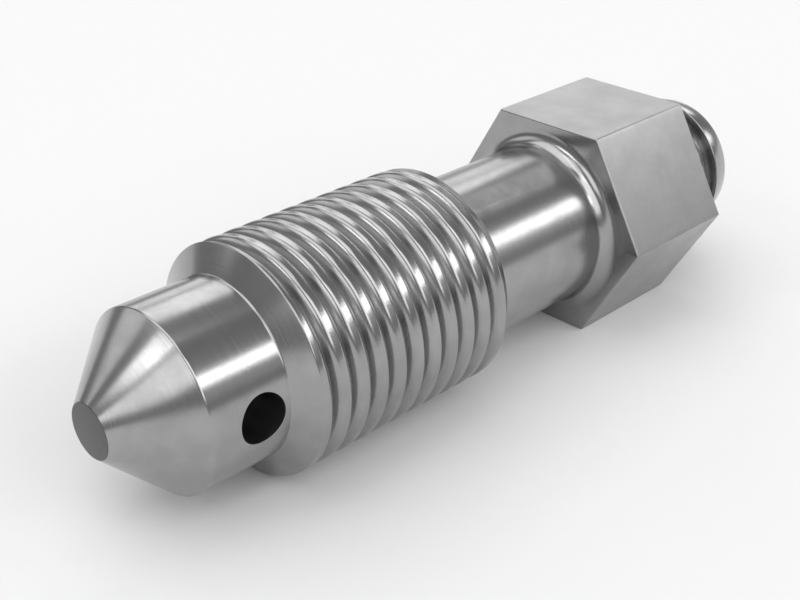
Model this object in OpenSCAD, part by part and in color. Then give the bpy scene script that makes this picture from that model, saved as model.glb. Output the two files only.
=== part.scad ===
// Bleeder screw for a hydraulic brake, M10 x 1, turned and milled from one steel bar.
// It lies on its side as it comes to rest, on a flat of its hexagon and the crest of its
// thread. The origin is on the ground under the middle of the screw's length, and the
// screw's axis runs along +X from the seat cone to the hose nipple.

/* [Seat cone and nose] */
// Diameter of the flat face at the tip of the seat cone
tip_d = 2.3; // [1.5:0.1:3.5]
// Included angle of the seat cone, which closes the port
seat_angle = 90; // [76:2:110]
// Diameter of the plain nose behind the seat cone
nose_d = 7.75; // [7.25:0.05:8.25]
// Length from the tip face to the shoulder at the thread
nose_len = 6.35; // [6.25:0.05:8]
// Slope of the shoulders at both ends of the thread, from a square step
shoulder_angle = 30; // [15:5:45]

/* [Cross hole and drain bore] */
// Diameter of the cross hole, drilled through the nose into the drain bore
cross_hole_d = 2.1; // [1.5:0.1:2.3]
// Distance from the tip face to the middle of the cross hole
cross_hole_at = 5; // [4.6:0.1:5.1]
// Diameter of the drain bore, drilled along the axis from the nipple
bore_d = 2.6; // [2.2:0.1:3]
// Depth of the drain bore past the middle of the cross hole, at full diameter
bore_past = 1.2; // [1:0.1:1.4]
// Point angle of the drill that made the drain bore
drill_point = 118; // [90:2:140]
// Chamfer at the mouth of the drain bore
mouth_chamfer = 0.35; // [0.1:0.05:0.5]

/* [Thread] */
// Outer diameter of the thread
thread_d = 10; // [9.6:0.1:11]
// Pitch of the thread
thread_pitch = 1; // [0.8:0.05:1.25]
// Length of the thread at full diameter
thread_len = 10.6; // [6:0.2:14]
// Depth of the thread groove
thread_depth = 0.45; // [0.3:0.05:0.5]
// Included angle between the two flanks of the groove
thread_angle = 60; // [50:1:60]
// Width of the groove's flat bottom
root_flat = 0.12; // [0.08:0.02:0.16]

/* [Neck] */
// Diameter of the neck between the thread and the hexagon
neck_d = 7.75; // [6.5:0.05:8]
// Length from the end of the thread to the hexagon
neck_len = 8.2; // [5:0.2:12]
// Radius of the fillet where the neck meets the hexagon
neck_fillet = 0.9; // [0.4:0.1:0.9]

/* [Hexagon] */
// Width of the hexagon across its flats
hex_af = 10; // [9.8:0.1:11]
// Length of the hexagon along the axis
hex_len = 6.8; // [4:0.2:9]

/* [Hose nipple] */
// Diameter of the nipple between the hexagon and the barb
groove_d = 5.7; // [5:0.1:6]
// Length from the hexagon to the barb's sharp edge
groove_len = 2.85; // [2:0.05:5]
// Radius of the fillets at both ends of the groove
groove_fillet = 0.6; // [0.2:0.05:0.65]
// Diameter over the barb's sharp edge
barb_d = 7.55; // [7.35:0.05:8.4]
// Length of the barb's tapering land
barb_len = 1.45; // [0.8:0.05:2.4]
// Taper of the land, from the axis
barb_taper = 17; // [8:1:18]
// Chamfer round the end of the nipple
end_chamfer = 0.55; // [0.2:0.05:0.7]

/* [Hidden] */
$fn = 64;

// Places along the axis, each reckoned from the one before it.
seat_end = (nose_d - tip_d) / 2 / tan(seat_angle / 2);
thread_start = nose_len + (thread_d - nose_d) / 2 * tan(shoulder_angle);
thread_end = thread_start + thread_len;
neck_start = thread_end + (thread_d - neck_d) / 2 * tan(shoulder_angle);
hex_start = thread_end + neck_len;
hex_end = hex_start + hex_len;
barb_at = hex_end + groove_len;
land_end = barb_at + barb_len;
total_len = land_end + end_chamfer;
hole_bottom = cross_hole_at - bore_past;

// Diameters that follow from the tapers.
land_end_d = barb_d - 2 * barb_len * tan(barb_taper);
end_d = land_end_d - 2 * end_chamfer;

// How far a joining piece reaches into the one it joins, and a cutter past the surface.
reach_in = hex_len / 10;

// Rest: where the thread and the hexagon are of one width the axis lies level. A wider
// hexagon tips the nose down on the thread's front edge, and a narrower one the nipple.
rest_from = hex_af > thread_d ? thread_start : thread_end;
rest_to = hex_af > thread_d ? hex_start : hex_end;
rest_tilt = atan((hex_af - thread_d) / 2 / (rest_to - rest_from));

// The groove's cross-section, as half widths at its bottom, and at its top past the crest.
turn_steps = 40;
root_r = thread_d / 2 - thread_depth;
top_r = thread_d / 2 + thread_depth / 3;
root_half = root_flat / 2;
top_half = root_half + (top_r - root_r) * tan(thread_angle / 2);
// The helix starts ahead of the front shoulder and ends behind the rear one, in the air.
groove_from = thread_start - 1.05 * thread_pitch;
groove_turns = ceil((neck_start - groove_from) / thread_pitch + 0.5);

// Outline of the nose, the thread's bar and the neck, as radius and place on the axis.
front_outline = [
  [0, 0],
  [tip_d / 2, 0],
  [nose_d / 2, seat_end],
  [nose_d / 2, nose_len],
  [thread_d / 2, thread_start],
  [thread_d / 2, thread_end],
  [neck_d / 2, neck_start],
  [neck_d / 2, hex_start + reach_in],
  [0, hex_start + reach_in]
];

// Outline of the hose nipple, with its groove, barb, tapering land and chamfered end.
nipple_outline = [
  [0, hex_end - reach_in],
  [groove_d / 2, hex_end - reach_in],
  [groove_d / 2, barb_at],
  [barb_d / 2, barb_at],
  [land_end_d / 2, land_end],
  [end_d / 2, total_len],
  [0, total_len]
];

// An outline swept round the axis.
module turned(outline) {
  rotate_extrude()
    polygon(outline);
}

// A ring that rounds the inner corner between a shaft of radius r and a square face at
// height 0, on the face's upper side.
module ring_fillet(r, size) {
  rotate_extrude()
    difference() {
      translate([r - size / 4, -size / 4])
        square(1.25 * size);
      translate([r + size, size])
        circle(r = size);
    }
}

// The four corners of the groove's cross-section at one step of the helix.
function groove_ring(step) =
  let(turn = step / turn_steps, z = groove_from + thread_pitch * turn)
  [for (corner = [[root_r, -root_half], [root_r, root_half], [top_r, top_half], [top_r, -top_half]])
    [corner[0] * cos(360 * turn), corner[0] * sin(360 * turn), z + corner[1]]];

// The right-handed thread's groove: its cross-section swept along the helix.
module thread_groove() {
  rings = groove_turns * turn_steps;
  sides = [for (step = [0:rings - 1], k = [0:3])
    let(here = 4 * step + k, beside = 4 * step + (k + 1) % 4)
    [here, here + 4, beside + 4, beside]];
  first_end = [0, 1, 2, 3];
  last_end = [for (k = [3:-1:0]) 4 * rings + k];
  polyhedron(
    points = [for (step = [0:rings]) each groove_ring(step)],
    faces = concat([first_end], sides, [last_end]),
    convexity = 12
  );
}

// The hexagon, with a flat facing down.
module hexagon() {
  translate([0, 0, hex_start])
    rotate([0, 0, 30])
      cylinder(d = hex_af / cos(30), h = hex_len, $fn = 6);
}

// The drain bore, from the nipple's chamfered mouth to the drill point in the nose.
module drain_bore() {
  point_len = bore_d / 2 / tan(drill_point / 2);
  translate([0, 0, hole_bottom])
    cylinder(d = bore_d, h = total_len - hole_bottom + reach_in);
  translate([0, 0, hole_bottom - point_len])
    cylinder(d1 = 0, d2 = bore_d, h = point_len);
  translate([0, 0, total_len - mouth_chamfer])
    cylinder(d1 = bore_d, d2 = bore_d + 4 * mouth_chamfer, h = 2 * mouth_chamfer);
}

// The cross hole, level, through both walls of the nose.
module cross_hole() {
  translate([0, 0, cross_hole_at])
    rotate([90, 0, 0])
      cylinder(d = cross_hole_d, h = 2 * nose_d, center = true);
}

// The screw with its axis along Z and its tip at the origin.
module upright_screw() {
  difference() {
    union() {
      turned(front_outline);
      hexagon();
      turned(nipple_outline);
      translate([0, 0, hex_start])
        mirror([0, 0, 1])
          ring_fillet(neck_d / 2, neck_fillet);
      translate([0, 0, hex_end])
        ring_fillet(groove_d / 2, groove_fillet);
      translate([0, 0, barb_at])
        mirror([0, 0, 1])
          ring_fillet(groove_d / 2, groove_fillet);
    }
    thread_groove();
    drain_bore();
    cross_hole();
  }
}

// The screw as it lies, with its axis along X.
module bleeder_screw() {
  color("silver")
    translate([rest_from - total_len / 2, 0, 0])
      rotate([0, -rest_tilt, 0])
        translate([-rest_from, 0, thread_d / 2])
          rotate([0, 90, 0])
            upright_screw();
}

bleeder_screw();
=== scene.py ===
import math

import bmesh
import bpy
from mathutils import Matrix, Vector


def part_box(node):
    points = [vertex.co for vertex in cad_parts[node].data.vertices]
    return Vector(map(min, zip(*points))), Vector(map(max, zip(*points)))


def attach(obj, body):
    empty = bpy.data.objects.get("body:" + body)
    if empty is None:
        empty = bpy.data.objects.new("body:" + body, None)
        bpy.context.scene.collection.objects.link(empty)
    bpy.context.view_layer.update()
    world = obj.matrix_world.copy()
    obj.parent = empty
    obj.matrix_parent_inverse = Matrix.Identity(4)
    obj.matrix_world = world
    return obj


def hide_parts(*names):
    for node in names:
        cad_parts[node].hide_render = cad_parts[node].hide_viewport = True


bl_info = {
    "name": "Bleeder Screw",
    "version": (1, 0, 0),
    "blender": (4, 5, 0),
    "location": "View3D > Sidebar > Bleeder Screw",
    "description": "Makes a turned steel bleeder screw, lying on a pale floor and lit for a render",
    "category": "Object",
}

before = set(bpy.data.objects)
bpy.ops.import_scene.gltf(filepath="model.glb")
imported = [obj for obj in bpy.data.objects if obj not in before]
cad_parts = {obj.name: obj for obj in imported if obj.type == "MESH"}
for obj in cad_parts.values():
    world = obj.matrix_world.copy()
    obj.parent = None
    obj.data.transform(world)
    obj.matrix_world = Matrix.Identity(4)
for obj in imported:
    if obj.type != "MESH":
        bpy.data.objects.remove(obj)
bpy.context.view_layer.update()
PIECE = "bleeder_screw"
MM = 0.001

# The screw lies along X. Its places are measured from the tip face, which is the lowest X of
# the CAD solid, and the axis runs half a hexagon above the ground.
CAD_LOW, CAD_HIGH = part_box(PIECE)
TIP_X = CAD_LOW.x
AXIS_Z = (CAD_LOW.z + CAD_HIGH.z) / 2


def linear_colour(hex_code):
    """An sRGB hex colour as the linear RGB that Blender works in."""
    values = [int(hex_code[i:i + 2], 16) / 255 for i in (1, 3, 5)]
    return [v / 12.92 if v <= 0.04045 else ((v + 0.055) / 1.055) ** 2.4 for v in values]


def length(name, millimetres, description):
    """A length property, given in millimetres and kept in metres."""
    return bpy.props.FloatProperty(
        name=name, description=description, default=millimetres * MM, min=0, unit="LENGTH",
        precision=5)


def angle(name, degrees, description):
    """An angle property, given in degrees and kept in radians."""
    return bpy.props.FloatProperty(
        name=name, description=description, default=math.radians(degrees), unit="ROTATION")


def count(name, number, least, description):
    """A whole number property."""
    return bpy.props.IntProperty(name=name, description=description, default=number, min=least)


def colour(name, hex_code, description):
    """A colour property, given as an sRGB hex code."""
    return bpy.props.FloatVectorProperty(
        name=name, description=description, default=linear_colour(hex_code), size=3, min=0, max=1,
        subtype="COLOR")


class BleederScrewSizes(bpy.types.PropertyGroup):
    """Sizes of the bar that the screw is turned from, each place measured from the tip."""
    tip_diameter: length("Tip diameter", 2.3, "Flat face at the tip of the seat cone")
    nose_diameter: length("Nose diameter", 7.75, "Plain nose behind the seat cone")
    seat_end: length("Seat cone length", 2.725, "From the tip face to the end of the seat cone")
    nose_length: length("Nose length", 6.35, "From the tip face to the front shoulder")
    thread_start: length("Thread start", 6.9995, "Where the front shoulder reaches the thread")
    thread_end: length("Thread end", 17.5995, "Where the thread meets the rear shoulder")
    neck_start: length("Neck start", 18.249, "Where the rear shoulder reaches the neck")
    neck_diameter: length("Neck diameter", 7.75, "Neck between the thread and the hexagon")
    neck_fillet: length("Neck fillet", 0.7, "Radius of the fillet where neck and hexagon meet")
    hexagon_start: length("Hexagon start", 25.7995, "Front face of the hexagon")
    hexagon_end: length("Hexagon end", 32.5995, "Rear face of the hexagon")
    hexagon_width: length("Hexagon width", 10, "Width across two flats")
    groove_diameter: length("Groove diameter", 5.7, "Nipple between the hexagon and the barb")
    groove_fillet: length("Groove fillet", 0.6, "Radius of the fillets at the groove's ends")
    barb_edge: length("Barb edge", 35.4495, "Where the barb's sharp edge is")
    barb_diameter: length("Barb diameter", 7.55, "Diameter over the barb's edge")
    land_end: length("Land end", 36.8995, "Where the barb's tapering land ends")
    land_end_diameter: length("Land end diameter", 6.6634, "Diameter at the end of the land")
    end_place: length("End", 37.4495, "End face of the nipple")
    end_diameter: length("End diameter", 5.5634, "Outer diameter of the end face")
    bore_diameter: length("Bore diameter", 2.6, "Drain bore along the axis")
    bore_bottom: length("Bore bottom", 3.8, "Where the bore's full diameter ends")
    drill_apex: length("Drill apex", 3.019, "Point left by the drill at the bore's bottom")
    mouth_chamfer: length("Mouth chamfer", 0.35, "Chamfer at the mouth of the bore")
    hole_diameter: length("Cross hole diameter", 2.1, "Hole drilled through the nose")
    hole_place: length("Cross hole place", 5, "Middle of the cross hole")
    edge_break: length("Edge break", 0.05, "Radius that takes the sharpness off an edge")


class BleederScrewThread(bpy.types.PropertyGroup):
    """Sizes of the thread. Geometry Nodes take them as inputs of the same names."""
    outer_diameter: length("Outer diameter", 10, "Diameter over the thread's crests")
    pitch: length("Pitch", 1, "Distance between two turns")
    depth: length("Depth", 0.38, "Depth of the groove")
    flank_angle: angle("Flank angle", 60, "Included angle between the groove's flanks")
    root_width: length("Root width", 0.1, "Width of the groove's flat bottom")
    crest_rounding: length("Crest rounding", 0.3, "How far the rounding of a crest reaches")
    root_rounding: length("Root rounding", 0.1, "How far the rounding of the bottom reaches")
    start: length("Start", 6.9495, "Where the groove's middle starts, under the screw")
    turns: count("Turns", 12, 1, "Turns of the groove")
    steps: count("Steps per turn", 192, 12, "Fineness of the sweep, and of the rings round the bar")


class BleederScrewFinish(bpy.types.PropertyGroup):
    """Colours of the steel and of the stage."""
    steel: colour("Steel", "#A4A4A4", "Bright turned steel")
    steel_dull: colour("Dull steel", "#999999", "Patches where the steel is a little duller")
    # This colour is painted shade: it darkens the thread's grooves, the drilled holes and the tip
    # face.
    painted_shade_steel: colour("Shaded steel", "#4A4A4A", "Steel under a film of oil or a dark skin")
    floor: colour("Floor", "#E0E0E0", "Pale floor under the screw")
    room: colour("Room", "#969696", "Dim room round the lamps, which the steel mirrors as dark")


def add_node(tree, kind, inputs=(), **settings):
    """Adds a node, sets its options, then its inputs, named or in order. Each input is a value,
    a socket, or a node whose first output is meant."""
    node = tree.nodes.new(kind)
    for key, value in settings.items():
        setattr(node, key, value)
    for key, value in inputs.items() if isinstance(inputs, dict) else enumerate(inputs):
        if isinstance(value, bpy.types.Node):
            value = value.outputs[0]
        if isinstance(value, bpy.types.NodeSocket):
            tree.links.new(value, node.inputs[key])
        else:
            node.inputs[key].default_value = value
    return node


def empty_tree(holder):
    """The node tree of a material or a world, cleared of the nodes that it comes with."""
    holder.use_nodes = True
    holder.node_tree.nodes.clear()
    return holder.node_tree


def as_object(name, bm):
    """Turns a bmesh into an object of the scene, with its place in its mesh."""
    mesh = bpy.data.meshes.new(name)
    bm.to_mesh(mesh)
    bm.free()
    made = bpy.data.objects.new(name, mesh)
    bpy.context.scene.collection.objects.link(made)
    return made


def made_plain(piece):
    """Turns what the modifiers make into the piece's own plain mesh, and removes them."""
    bpy.context.view_layer.update()
    evaluated = piece.evaluated_get(bpy.context.evaluated_depsgraph_get())
    mesh = bpy.data.meshes.new_from_object(evaluated)
    piece.modifiers.clear()
    old, piece.data = piece.data, mesh
    bpy.data.meshes.remove(old)
    mesh.name = piece.name


# Radius of the hexagon's edges, as a share of the edge break.
HEXAGON_EDGE = 1.6
# Degrees from the middle of a hexagon's flat to its edge.
HALF_SIDE = 30
# Points closer than this are one point, in metres.
SAME_PLACE = 1e-7


def round_corner(before, corner, after, radius, steps):
    """The points of an arc that rounds a corner of an outline, from one tangent point to the
    other."""
    a, c, b = Vector(before), Vector(corner), Vector(after)
    to_a, to_b = (a - c).normalized(), (b - c).normalized()
    half = to_a.angle(to_b) / 2
    reach = radius / math.tan(half)
    centre = c + (to_a + to_b).normalized() * radius / math.sin(half)
    first, last = c + to_a * reach - centre, c + to_b * reach - centre
    sweep = first.angle(last)
    points = []
    for i in range(steps + 1):
        t = i / steps
        p = (first * math.sin((1 - t) * sweep) + last * math.sin(t * sweep)) / math.sin(sweep)
        points.append(tuple(centre + p))
    return points


def screw_outline(s, bar):
    """Half section of the screw, cut from a bar of the given radius, from its tip round to the
    bottom of its bore. Each point is a place on the axis, a distance from the axis, and whether
    the ring there is six-sided."""
    e = s.edge_break
    # Corners of the section: the same three values, then the radius that rounds the corner and
    # the steps of its arc. A corner with no steps lies on the axis and stays as it is.
    corners = [
        (0, 0, False, 0, 0),
        (0, s.tip_diameter / 2, False, e, 3),
        (s.seat_end, s.nose_diameter / 2, False, 2.8 * e, 5),
        (s.nose_length, s.nose_diameter / 2, False, 2 * e, 5),
        (s.thread_start, bar, False, 1.6 * e, 4),
        (s.thread_end, bar, False, 1.6 * e, 4),
        (s.neck_start, s.neck_diameter / 2, False, 2 * e, 5),
        (s.hexagon_start, s.neck_diameter / 2, False, s.neck_fillet, 16),
        (s.hexagon_start, s.hexagon_width / 2, True, HEXAGON_EDGE * e, 4),
        (s.hexagon_end, s.hexagon_width / 2, True, HEXAGON_EDGE * e, 4),
        (s.hexagon_end, s.groove_diameter / 2, False, s.groove_fillet, 10),
        (s.barb_edge, s.groove_diameter / 2, False, s.groove_fillet, 10),
        (s.barb_edge, s.barb_diameter / 2, False, 0.8 * e, 3),
        (s.land_end, s.land_end_diameter / 2, False, 1.6 * e, 3),
        (s.end_place, s.end_diameter / 2, False, 1.6 * e, 3),
        (s.end_place, s.bore_diameter / 2 + s.mouth_chamfer, False, e, 3),
        (s.end_place - s.mouth_chamfer, s.bore_diameter / 2, False, e, 3),
        (s.bore_bottom, s.bore_diameter / 2, False, e, 3),
        (s.drill_apex, 0, False, 0, 0),
    ]
    outline = []
    for i, (x, r, six, radius, steps) in enumerate(corners):
        if steps == 0:
            outline.append((x, r, six))
            continue
        before, after = corners[i - 1][:2], corners[i + 1][:2]
        outline += [(px, pr, six) for px, pr in round_corner(before, (x, r), after, radius, steps)]
    return outline


def six_sided(distance, turn, edge_radius):
    """Distance from the axis to the surface of a hexagon with a flat on top, at an angle of turn,
    where its flats are at the given distance and its edges are rounded."""
    off_flat = turn % (2 * HALF_SIDE) - HALF_SIDE
    off_edge = math.radians(HALF_SIDE - abs(off_flat))
    far = (distance - edge_radius) / math.cos(math.radians(HALF_SIDE))
    beside = far * math.sin(off_edge)
    if beside < edge_radius * math.sin(math.radians(HALF_SIDE)):
        return far * math.cos(off_edge) + math.sqrt(edge_radius ** 2 - beside ** 2)
    return distance / math.cos(math.radians(off_flat))


def ring_angles(edge_radius, distance, sides):
    """Angles of a ring's points in degrees: evenly spaced, with more at the hexagon's six edges,
    whose rounding reaches half its radius to each side."""
    edge_distance = distance / math.cos(math.radians(HALF_SIDE))
    width = math.degrees(edge_radius / 2 / edge_distance)
    angles = set(360 * i / sides for i in range(sides))
    for edge in range(0, 360, 2 * HALF_SIDE):
        angles |= {(edge + k * width) % 360 for k in (-1, -0.5, 0.5, 1)}
    return sorted(angles)


def solid_from_rings(name, outline, angles, edge_radius):
    """A closed mesh of rings round the screw's axis, joined one to the next. A point on the axis
    is a ring of one."""
    bm = bmesh.new()
    rings = []
    for x, r, six in outline:
        if r == 0:
            rings.append([bm.verts.new((TIP_X + x, 0, AXIS_Z))])
            continue
        ring = []
        for turn in angles:
            out = six_sided(r, turn, edge_radius) if six else r
            c, s = math.cos(math.radians(turn)), math.sin(math.radians(turn))
            ring.append(bm.verts.new((TIP_X + x, out * c, AXIS_Z + out * s)))
        rings.append(ring)
    n = len(angles)
    for a, b in zip(rings, rings[1:]):
        for i in range(n):
            j = (i + 1) % n
            if len(a) == 1:
                bm.faces.new((a[0], b[j], b[i]))
            elif len(b) == 1:
                bm.faces.new((a[i], a[j], b[0]))
            else:
                bm.faces.new((a[i], a[j], b[j], b[i]))
    bmesh.ops.remove_doubles(bm, verts=bm.verts, dist=SAME_PLACE)
    bmesh.ops.recalc_face_normals(bm, faces=bm.faces)
    return as_object(name, bm)


# Points across the groove's section.
ACROSS_GROOVE = 21
# How far past the crest the flanks go on, as a share of the crest's rounding.
PAST_CREST = 0.75
# How far the two points that close the section stand out in the air.
IN_THE_AIR = 0.15 * MM


def sizes_by_name(group):
    """The values of a property group under the names that a user reads."""
    return {group.bl_rna.properties[key].name: getattr(group, key)
            for key in group.__annotations__}


def thread_tree(t):
    """Geometry Nodes that cut a right-handed thread in the bar: the groove's section, made from
    its sizes, is swept along a helix and taken out of the bar."""
    tree = bpy.data.node_groups.new("Helical thread groove", "GeometryNodeTree")
    face = tree.interface
    face.new_socket("Geometry", in_out="INPUT", socket_type="NodeSocketGeometry")
    for name, value in sizes_by_name(t).items():
        kind = "NodeSocketInt" if isinstance(value, int) else "NodeSocketFloat"
        face.new_socket(name, in_out="INPUT", socket_type=kind).default_value = value
    face.new_socket("Material", in_out="INPUT", socket_type="NodeSocketMaterial")
    face.new_socket("Geometry", in_out="OUTPUT", socket_type="NodeSocketGeometry")
    given = tree.nodes.new("NodeGroupInput").outputs
    math_node, map_range = "ShaderNodeMath", "ShaderNodeMapRange"

    # How far the groove's section reaches to each side, past its crests' rounding.
    crest = add_node(tree, math_node, [given["Outer diameter"], 2.0], operation="DIVIDE")
    root = add_node(tree, math_node, [crest, given["Depth"]], operation="SUBTRACT")
    half_root = add_node(tree, math_node, [given["Root width"], 2.0], operation="DIVIDE")
    half_angle = add_node(tree, math_node, [given["Flank angle"], 2.0], operation="DIVIDE")
    lean = add_node(tree, math_node, [half_angle], operation="TANGENT")
    rise = add_node(tree, math_node, [given["Crest rounding"], PAST_CREST, given["Depth"]],
                    operation="MULTIPLY_ADD")
    half_top = add_node(tree, math_node, [rise, lean, half_root], operation="MULTIPLY_ADD")

    # The section is a row of points across the groove. Their heights follow the flanks, rounded
    # at the bottom and at the crests, and one more point at each end closes it in the air.
    index = add_node(tree, "GeometryNodeInputIndex")
    share = add_node(tree, map_range, {"Value": index, "From Min": 1.0,
                                       "From Max": float(ACROSS_GROOVE),
                                       "To Min": -1.0, "To Max": 1.0})
    across = add_node(tree, math_node, [share, half_top], operation="MULTIPLY")
    beside = add_node(tree, math_node, [across], operation="ABSOLUTE")
    on_flank = add_node(tree, math_node, [beside, half_root], operation="SUBTRACT")
    climb = add_node(tree, math_node, [on_flank, lean], operation="DIVIDE")
    flank = add_node(tree, math_node, [root, climb], operation="ADD")
    bottomed = add_node(tree, math_node, [flank, root, given["Root rounding"]],
                        operation="SMOOTH_MAX")
    topped = add_node(tree, math_node, [bottomed, crest, given["Crest rounding"]],
                      operation="SMOOTH_MIN")
    not_at_end = add_node(tree, math_node, [index, (ACROSS_GROOVE + 1) / 2, ACROSS_GROOVE / 2],
                          operation="COMPARE")
    lift = add_node(tree, map_range, {"Value": not_at_end, "To Min": IN_THE_AIR, "To Max": 0.0})
    height = add_node(tree, math_node, [topped, lift], operation="ADD")
    inward = add_node(tree, math_node, [crest, height], operation="SUBTRACT")
    place = add_node(tree, "ShaderNodeCombineXYZ", {"X": inward, "Y": across})
    row = add_node(tree, "GeometryNodeMeshLine", {"Count": ACROSS_GROOVE + 2}, mode="OFFSET")
    shaped = add_node(tree, "GeometryNodeSetPosition", {"Geometry": row, "Position": place})
    section = add_node(tree, "GeometryNodeMeshToCurve", {"Mesh": shaped})
    closed = add_node(tree, "GeometryNodeSetSplineCyclic", {"Geometry": section, "Cyclic": True})

    # The helix at the crest's radius, along Z, laid along X afterwards. A negative height makes
    # the spiral a right-handed one, so it is laid from its end.
    reach = add_node(tree, math_node, [given["Pitch"], given["Turns"]], operation="MULTIPLY")
    sink = add_node(tree, math_node, [reach, -1.0], operation="MULTIPLY")
    helix = add_node(tree, "GeometryNodeCurveSpiral",
                     {"Resolution": given["Steps per turn"], "Rotations": given["Turns"],
                      "Start Radius": crest, "End Radius": crest, "Height": sink})
    level = add_node(tree, "GeometryNodeSetCurveNormal", {"Curve": helix}, mode="Z_UP")
    swept = add_node(tree, "GeometryNodeCurveToMesh",
                     {"Curve": level, "Profile Curve": closed, "Fill Caps": True})
    from_tip = add_node(tree, math_node, [given["Start"], reach], operation="ADD")
    along = add_node(tree, math_node, [from_tip, TIP_X], operation="ADD")
    shift = add_node(tree, "ShaderNodeCombineXYZ", {"X": along, "Z": AXIS_Z})
    laid = add_node(tree, "GeometryNodeTransform",
                    {"Geometry": swept, "Translation": shift,
                     "Rotation": (0, math.radians(90), 0)})

    cut = add_node(tree, "GeometryNodeMeshBoolean", {"Mesh 1": given["Geometry"], "Mesh 2": laid},
                   operation="DIFFERENCE", solver="MANIFOLD")
    whole = add_node(tree, "GeometryNodeRealizeInstances", {"Geometry": cut})
    finished = add_node(tree, "GeometryNodeSetMaterial",
                        {"Geometry": whole, "Material": given["Material"]})
    add_node(tree, "NodeGroupOutput", {"Geometry": finished})
    return tree


# Sides of the cylinder that drills the cross hole.
DRILL_SIDES = 96


def cross_hole_cutter(s):
    """A level cylinder through the nose, for the cross hole."""
    bm = bmesh.new()
    middle = Matrix.Translation((TIP_X + s.hole_place, 0, AXIS_Z))
    bmesh.ops.create_cone(
        bm, cap_ends=True, segments=DRILL_SIDES, radius1=s.hole_diameter / 2,
        radius2=s.hole_diameter / 2, depth=2 * s.nose_diameter,
        matrix=middle @ Matrix.Rotation(math.radians(90), 4, "X"))
    return as_object("cross_hole_cutter", bm)


# Spacing of the tool's rings. The real ones are about 0.05 mm apart, and are drawn wider, so
# that they show.
RING_SPACING = 0.12 * MM
# Spacing of the lines that the drawing die left on the hexagon, and how much they are squeezed
# along it in the noise, which draws them out there.
LINE_SPACING, LINE_SQUEEZE = 0.1 * MM, 0.06
# Size of the soft patches, and the noise's values where they are fully dull and fully bright.
PATCH_SIZE, PATCH_DULL, PATCH_BRIGHT = 1.5 * MM, 0.34, 0.66
# Size of the grain, and its height as a share of the marks' height.
GRAIN_SIZE, GRAIN_SHARE = 0.15 * MM, 0.6
# Height of the rings and lines in the bump, and how strongly it shows.
MARK_HEIGHT, MARK_STRENGTH = 0.004 * MM, 0.05

# Roughness where the steel is bright and where it is dull, and what is added to it by the marks,
# the neck's coarser feed, the hexagon's drawn skin, and the places darkened by painted shade.
BRIGHT_ROUGH, DULL_ROUGH = 0.145, 0.18
MARKS_ROUGH, NECK_ROUGH, HEXAGON_ROUGH, SHADED_ROUGH = 0.08, 0.04, 0.11, 0.15

# The share of the groove's depth at which the painted shade starts, and its strength at the
# groove's bottom, where 1 is full shade.
SHADE_FROM, SHADE_IN_GROOVE = 0.6, 0.6
# Painted shade on the tip face, standing in for its dark reflection, and how much less a hole gets.
TIP_SHADE, HOLE_LESS_SHADE = 0.85, 0.6

# Half the length of the band that holds the cross hole, as a share of the hole's diameter.
HOLE_BAND = 0.53
# How far under the nose's surface the cross hole's wall starts.
UNDER_SURFACE = 0.06 * MM
# How far behind the tip face the bore is looked for.
BEHIND_TIP = 0.5 * MM
# How far a surface may be off its size and still count as that surface.
OFF_SIZE = 0.02 * MM


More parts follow.
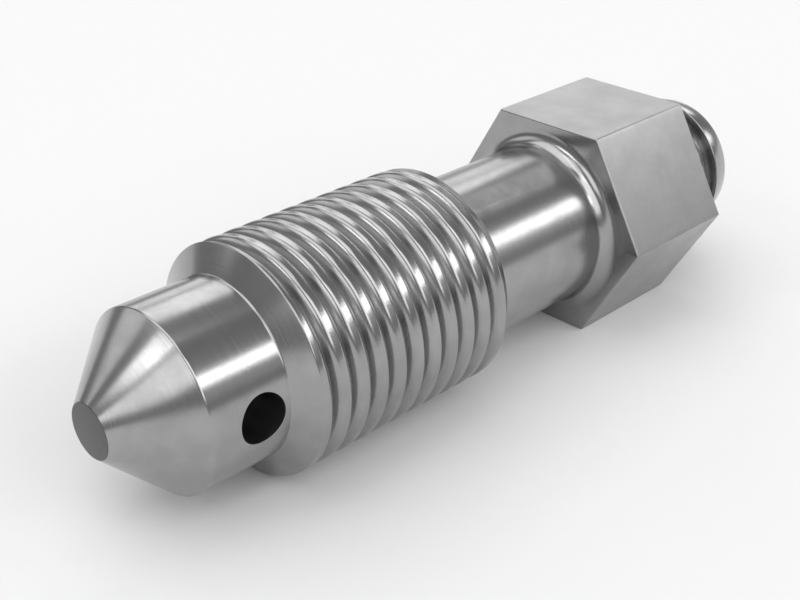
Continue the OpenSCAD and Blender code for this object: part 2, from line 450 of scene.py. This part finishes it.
def turned_steel(finish, s, t):
    """Free-cutting steel bar, finely turned, with a drawn hexagon. The eye sees a clean satin
    mirror of the lamps, faint rings from the tool, soft dull patches from handling, a neck and a
    hexagon that are more matt, and painted shade, with more roughness, on the tip face, in the
    thread's grooves and in the drilled holes."""
    material = bpy.data.materials.new("Turned free-cutting steel")
    tree = empty_tree(material)
    math_node, map_range, mix = "ShaderNodeMath", "ShaderNodeMapRange", "ShaderNodeMix"
    noise, vector_math = "ShaderNodeTexNoise", "ShaderNodeVectorMath"
    place = add_node(tree, "ShaderNodeTexCoord").outputs["Object"]
    centred = add_node(tree, "ShaderNodeMapping",
                       {"Vector": place, "Location": (-TIP_X, 0, -AXIS_Z)})
    x, y, z = add_node(tree, "ShaderNodeSeparateXYZ", [centred]).outputs
    off_axis = add_node(tree, "ShaderNodeCombineXYZ", {"Y": y, "Z": z})
    radius = add_node(tree, vector_math, [off_axis], operation="LENGTH").outputs["Value"]

    # Where each part of the screw lies, as its middle and half its length.
    hexagon_middle = (s.hexagon_start + s.hexagon_end) / 2
    hexagon_half = (s.hexagon_end - s.hexagon_start) / 2 - OFF_SIZE / 2
    on_hexagon = add_node(tree, math_node, [x, hexagon_middle, hexagon_half], operation="COMPARE")
    neck_half = (s.hexagon_start - s.neck_fillet - s.neck_start) / 2
    on_neck = add_node(tree, math_node, [x, s.neck_start + neck_half, neck_half],
                       operation="COMPARE")
    thread_middle = (s.thread_start + s.thread_end) / 2
    thread_half = (s.thread_end - s.thread_start) / 2
    on_thread = add_node(tree, math_node, [x, thread_middle, thread_half], operation="COMPARE")
    on_tip = add_node(tree, math_node, [x, OFF_SIZE], operation="LESS_THAN")

    # Distance from the axis plus place along it is constant round each ring that the tool
    # leaves, on a cylinder, on a face and on the seat cone alike.
    ring = add_node(tree, math_node, [x, radius], operation="ADD")
    rings = add_node(tree, noise, {"W": ring, "Scale": 1 / RING_SPACING, "Detail": 2.0},
                     noise_dimensions="1D")
    drawn = add_node(tree, vector_math, [centred, (LINE_SQUEEZE, 1, 1)], operation="MULTIPLY")
    lines = add_node(tree, noise, {"Vector": drawn, "Scale": 1 / LINE_SPACING, "Detail": 2.0})
    marks = add_node(tree, mix, {"Factor": on_hexagon, "A": rings, "B": lines})

    # Soft patches with smaller clouds in them, and a fine grain.
    patches = add_node(tree, noise, {"Vector": place, "Scale": 1 / PATCH_SIZE, "Detail": 4.0,
                                     "Roughness": 0.6})
    grain = add_node(tree, noise, {"Vector": place, "Scale": 1 / GRAIN_SIZE, "Detail": 2.0})
    spread = add_node(tree, map_range, {"Value": patches, "From Min": PATCH_DULL,
                                        "From Max": PATCH_BRIGHT})
    tint = add_node(tree, mix, {"Factor": spread, "A": (*finish.steel_dull, 1),
                                "B": (*finish.steel, 1)}, data_type="RGBA")

    # Painted shade darkens the thread's grooves, most at their bottom, and the drilled holes.
    crest = t.outer_diameter / 2
    deep = add_node(tree, map_range, {"Value": radius, "From Min": crest - SHADE_FROM * t.depth,
                                      "From Max": crest - t.depth, "To Max": SHADE_IN_GROOVE})
    in_groove = add_node(tree, math_node, [on_thread, deep], operation="MULTIPLY")
    by_hole = add_node(tree, math_node, [x, s.hole_place, HOLE_BAND * s.hole_diameter],
                       operation="COMPARE")
    inside = add_node(tree, math_node, [radius, s.nose_diameter / 2 - UNDER_SURFACE],
                      operation="LESS_THAN")
    in_hole = add_node(tree, math_node, [by_hole, inside], operation="MULTIPLY")
    by_axis = add_node(tree, math_node, [radius, s.bore_diameter / 2 + OFF_SIZE],
                       operation="LESS_THAN")
    past_tip = add_node(tree, math_node, [x, BEHIND_TIP], operation="GREATER_THAN")
    in_bore = add_node(tree, math_node, [by_axis, past_tip], operation="MULTIPLY")
    drilled = add_node(tree, math_node, [in_hole, in_bore], operation="MAXIMUM")
    groove_or_hole_shade = add_node(tree, math_node, [in_groove, drilled], operation="MAXIMUM")
    # The tip face is darkened with painted shade, which stands in for the dark reflection it shows.
    painted_shade = add_node(tree, math_node, [on_tip, TIP_SHADE, groove_or_hole_shade], operation="MULTIPLY_ADD")
    # A hole gets less of the painted shade, as little light comes back out of it anyway.
    dark = add_node(tree, math_node, [drilled, -HOLE_LESS_SHADE, painted_shade], operation="MULTIPLY_ADD")
    shade = add_node(tree, mix, {"Factor": dark, "A": tint.outputs["Result"],
                                 "B": (*finish.painted_shade_steel, 1)}, data_type="RGBA")

    wear = add_node(tree, map_range,
                    {"Value": spread, "To Min": DULL_ROUGH, "To Max": BRIGHT_ROUGH})
    rough = add_node(tree, math_node, [marks, MARKS_ROUGH, wear], operation="MULTIPLY_ADD")
    for where, added in ((on_neck, NECK_ROUGH), (on_hexagon, HEXAGON_ROUGH), (painted_shade, SHADED_ROUGH)):
        rough = add_node(tree, math_node, [where, added, rough], operation="MULTIPLY_ADD")
    relief = add_node(tree, math_node, [grain, GRAIN_SHARE, marks], operation="MULTIPLY_ADD")
    bump = add_node(tree, "ShaderNodeBump", {"Height": relief, "Strength": MARK_STRENGTH,
                                             "Distance": MARK_HEIGHT})
    steel = add_node(tree, "ShaderNodeBsdfPrincipled",
                     {"Base Color": shade.outputs["Result"], "Metallic": 1.0,
                      "Roughness": rough, "Normal": bump})
    add_node(tree, "ShaderNodeOutputMaterial", {"Surface": steel})
    return material


# Edges between faces that meet at more than this angle stay sharp, in degrees.
SHARP_ANGLE = 32


class OBJECT_OT_bleeder_screw(bpy.types.Operator):
    """Turn the bar, form its hexagon, cut its thread and drill its holes"""
    bl_idname = "object.bleeder_screw_add"
    bl_label = "Bleeder Screw"

    def execute(self, context):
        scene = context.scene
        s, t = scene.bleeder_sizes, scene.bleeder_thread
        steel = turned_steel(scene.bleeder_finish, s, t)
        edge_radius = HEXAGON_EDGE * s.edge_break
        outline = screw_outline(s, t.outer_diameter / 2)
        angles = ring_angles(edge_radius, s.hexagon_width / 2, t.steps)
        piece = solid_from_rings("turned_screw", outline, angles, edge_radius)
        piece.data.materials.append(steel)

        tree = thread_tree(t)
        inputs = {**sizes_by_name(t), "Material": steel}
        modifier = piece.modifiers.new("Thread", "NODES")
        modifier.node_group = tree
        for socket in tree.interface.items_tree:
            if socket.in_out == "INPUT" and socket.name in inputs:
                modifier[socket.identifier] = inputs[socket.name]
        faces_before = len(piece.data.polygons)
        made_plain(piece)
        if len(piece.data.polygons) <= faces_before:
            raise RuntimeError("the thread's groove was not cut")

        cutter = cross_hole_cutter(s)
        drill = piece.modifiers.new("Cross hole", "BOOLEAN")
        drill.operation, drill.solver, drill.object = "DIFFERENCE", "MANIFOLD", cutter
        made_plain(piece)
        # Removing the mesh takes the cutter's object with it.
        bpy.data.meshes.remove(cutter.data)

        piece.data.shade_smooth()
        piece.data.set_sharp_from_angle(angle=math.radians(SHARP_ANGLE))
        even = piece.modifiers.new("Even normals", "WEIGHTED_NORMAL")
        even.keep_sharp = True
        made_plain(piece)

        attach(piece, "root")
        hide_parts(PIECE)
        return {"FINISHED"}


# Lamps: name, direction from the screw as azimuth and height in degrees, width and height of the
# lamp in degrees as seen from the screw, its turn in degrees, and its brightness, where 1 is
# white. All stand equally far from the screw, in metres.
LAMP_DISTANCE = 3
LAMPS = [
    ("Overhead softbox", 114, 73, 44, 62, 0, 1.5),
    ("Key softbox over the camera's right", -100, 39, 46, 48, 0, 1.85),
    ("Fill softbox above the camera", -152, 63, 40, 24, 0, 1.2),
    ("Softbox behind", 49, 40, 30, 24, 0, 1.85),
    ("Low panel behind", 53, 17, 40, 14, 0, 1.35),
    ("Small panel behind", 5, 43, 26, 8, 0, 0.9),
    ("Accent lamp behind at right", 21, 18.5, 19, 9, 0, 2.8),
    ("Second accent lamp behind at right", -12, 13, 10, 9, 0, 2.8),
    ("Strip lamp at right", -48, 28.5, 50, 11.5, -16, 4.1),
    ("Panel below the strip lamp", -50, 15, 42, 9, 0, 0.2),
    ("Strip lamp at left", 164, 38, 20, 10, 0, 3.6),
    ("Panel at left", -165, 26, 28, 22, -20, 1.7),
    ("Panel behind at left", 116, 25, 30, 18, 20, 0.95),
]

# The floor reaches this far each way, in metres. Its grain is a little darker than its paint.
FLOOR_REACH = 10
FLOOR_GRAIN = 0.8 * MM
GRAIN_SHADE = 0.985

# The camera, fitted to the photo's outlines: its place, where it looks and what is up in its
# picture, its lens and the width of its sensor in millimetres, and the distances it sees.
CAMERA_PLACE = (-0.0381888, -0.035189, 0.03141)
CAMERA_FORWARD = (0.62407, 0.61912, -0.47669)
CAMERA_UP = (0.33658, 0.33757, 0.87907)
CAMERA_LENS, SENSOR_WIDTH = 57.62, 36
NEAREST, FURTHEST = 1 * MM, 10


def add_lamp(name, azimuth, height, wide, high, turn, brightness, target):
    """A soft rectangular lamp that faces the screw, as bright as it is asked to look."""
    a, h = math.radians(azimuth), math.radians(height)
    out = Vector((math.cos(h) * math.cos(a), math.cos(h) * math.sin(a), math.sin(h)))
    data = bpy.data.lights.new(name, "AREA")
    data.shape = "RECTANGLE"
    data.size = 2 * LAMP_DISTANCE * math.tan(math.radians(wide / 2))
    data.size_y = 2 * LAMP_DISTANCE * math.tan(math.radians(high / 2))
    data.energy = brightness * math.pi * data.size * data.size_y
    lamp = bpy.data.objects.new(name, data)
    right = Vector((-math.sin(a), math.cos(a), 0))
    up = out.cross(right)
    facing = Matrix((right, up, out)).transposed() @ Matrix.Rotation(math.radians(turn), 3, "Z")
    lamp.matrix_world = Matrix.Translation(target + out * LAMP_DISTANCE) @ facing.to_4x4()
    bpy.context.scene.collection.objects.link(lamp)


def floor_material(finish):
    """Matt painted board. The eye sees an even pale ground with a very faint grain."""
    material = bpy.data.materials.new("Matt painted board")
    tree = empty_tree(material)
    place = add_node(tree, "ShaderNodeTexCoord").outputs["Object"]
    grain = add_node(tree, "ShaderNodeTexNoise",
                     {"Vector": place, "Scale": 1 / FLOOR_GRAIN, "Detail": 2.0})
    darker = [GRAIN_SHADE * v for v in finish.floor]
    tint = add_node(tree, "ShaderNodeMix", {"Factor": grain, "A": (*darker, 1),
                                            "B": (*finish.floor, 1)}, data_type="RGBA")
    paint = add_node(tree, "ShaderNodeBsdfDiffuse", {"Color": tint.outputs["Result"]})
    add_node(tree, "ShaderNodeOutputMaterial", {"Surface": paint})
    return material


def dim_room(finish):
    """An even grey room round the lamps."""
    world = bpy.data.worlds.new("Dim room")
    tree = empty_tree(world)
    room = add_node(tree, "ShaderNodeBackground",
                    {"Color": (*finish.room, 1), "Strength": 1.0})
    add_node(tree, "ShaderNodeOutputWorld", {"Surface": room})
    return world


def photo_camera():
    """The camera that sees the screw as the photo does."""
    data = bpy.data.cameras.new("Camera")
    data.sensor_fit, data.sensor_width, data.lens = "HORIZONTAL", SENSOR_WIDTH, CAMERA_LENS
    data.clip_start, data.clip_end = NEAREST, FURTHEST
    camera = bpy.data.objects.new("Camera", data)
    forward = Vector(CAMERA_FORWARD).normalized()
    right = forward.cross(Vector(CAMERA_UP)).normalized()
    up = right.cross(forward)
    facing = Matrix((right, up, -forward)).transposed()
    camera.matrix_world = Matrix.Translation(CAMERA_PLACE) @ facing.to_4x4()
    bpy.context.scene.collection.objects.link(camera)
    return camera


class SCENE_OT_bleeder_stage(bpy.types.Operator):
    """Lay the floor, set the lamps and the camera"""
    bl_idname = "scene.bleeder_screw_stage"
    bl_label = "Floor, Lamps and Camera"

    def execute(self, context):
        scene = context.scene
        finish = scene.bleeder_finish
        bm = bmesh.new()
        bmesh.ops.create_grid(bm, x_segments=1, y_segments=1, size=FLOOR_REACH)
        floor = as_object("floor", bm)
        floor.data.materials.append(floor_material(finish))

        for lamp in LAMPS:
            add_lamp(*lamp, target=Vector((0, 0, AXIS_Z)))
        scene.world = dim_room(finish)
        scene.camera = photo_camera()
        scene.view_settings.view_transform = "Standard"
        return {"FINISHED"}


class VIEW3D_PT_bleeder_screw(bpy.types.Panel):
    """Sizes, finish and the steps that make the screw"""
    bl_label = "Bleeder Screw"
    bl_space_type = "VIEW_3D"
    bl_region_type = "UI"
    bl_category = "Bleeder Screw"

    def draw(self, context):
        scene = context.scene
        for title, group in (("Sizes", scene.bleeder_sizes), ("Thread", scene.bleeder_thread),
                             ("Finish", scene.bleeder_finish)):
            box = self.layout.box()
            box.label(text=title)
            for key in group.__annotations__:
                box.prop(group, key)
        self.layout.operator(OBJECT_OT_bleeder_screw.bl_idname)
        self.layout.operator(SCENE_OT_bleeder_stage.bl_idname)


CLASSES = (BleederScrewSizes, BleederScrewThread, BleederScrewFinish,
           OBJECT_OT_bleeder_screw, SCENE_OT_bleeder_stage, VIEW3D_PT_bleeder_screw)


def register():
    for cls in CLASSES:
        bpy.utils.register_class(cls)
    bpy.types.Scene.bleeder_sizes = bpy.props.PointerProperty(type=BleederScrewSizes)
    bpy.types.Scene.bleeder_thread = bpy.props.PointerProperty(type=BleederScrewThread)
    bpy.types.Scene.bleeder_finish = bpy.props.PointerProperty(type=BleederScrewFinish)


def unregister():
    del bpy.types.Scene.bleeder_finish
    del bpy.types.Scene.bleeder_thread
    del bpy.types.Scene.bleeder_sizes
    for cls in reversed(CLASSES):
        bpy.utils.unregister_class(cls)


def main():
    register()
    bpy.ops.object.bleeder_screw_add()
    bpy.ops.scene.bleeder_screw_stage()


if __name__ == "__main__":
    main()
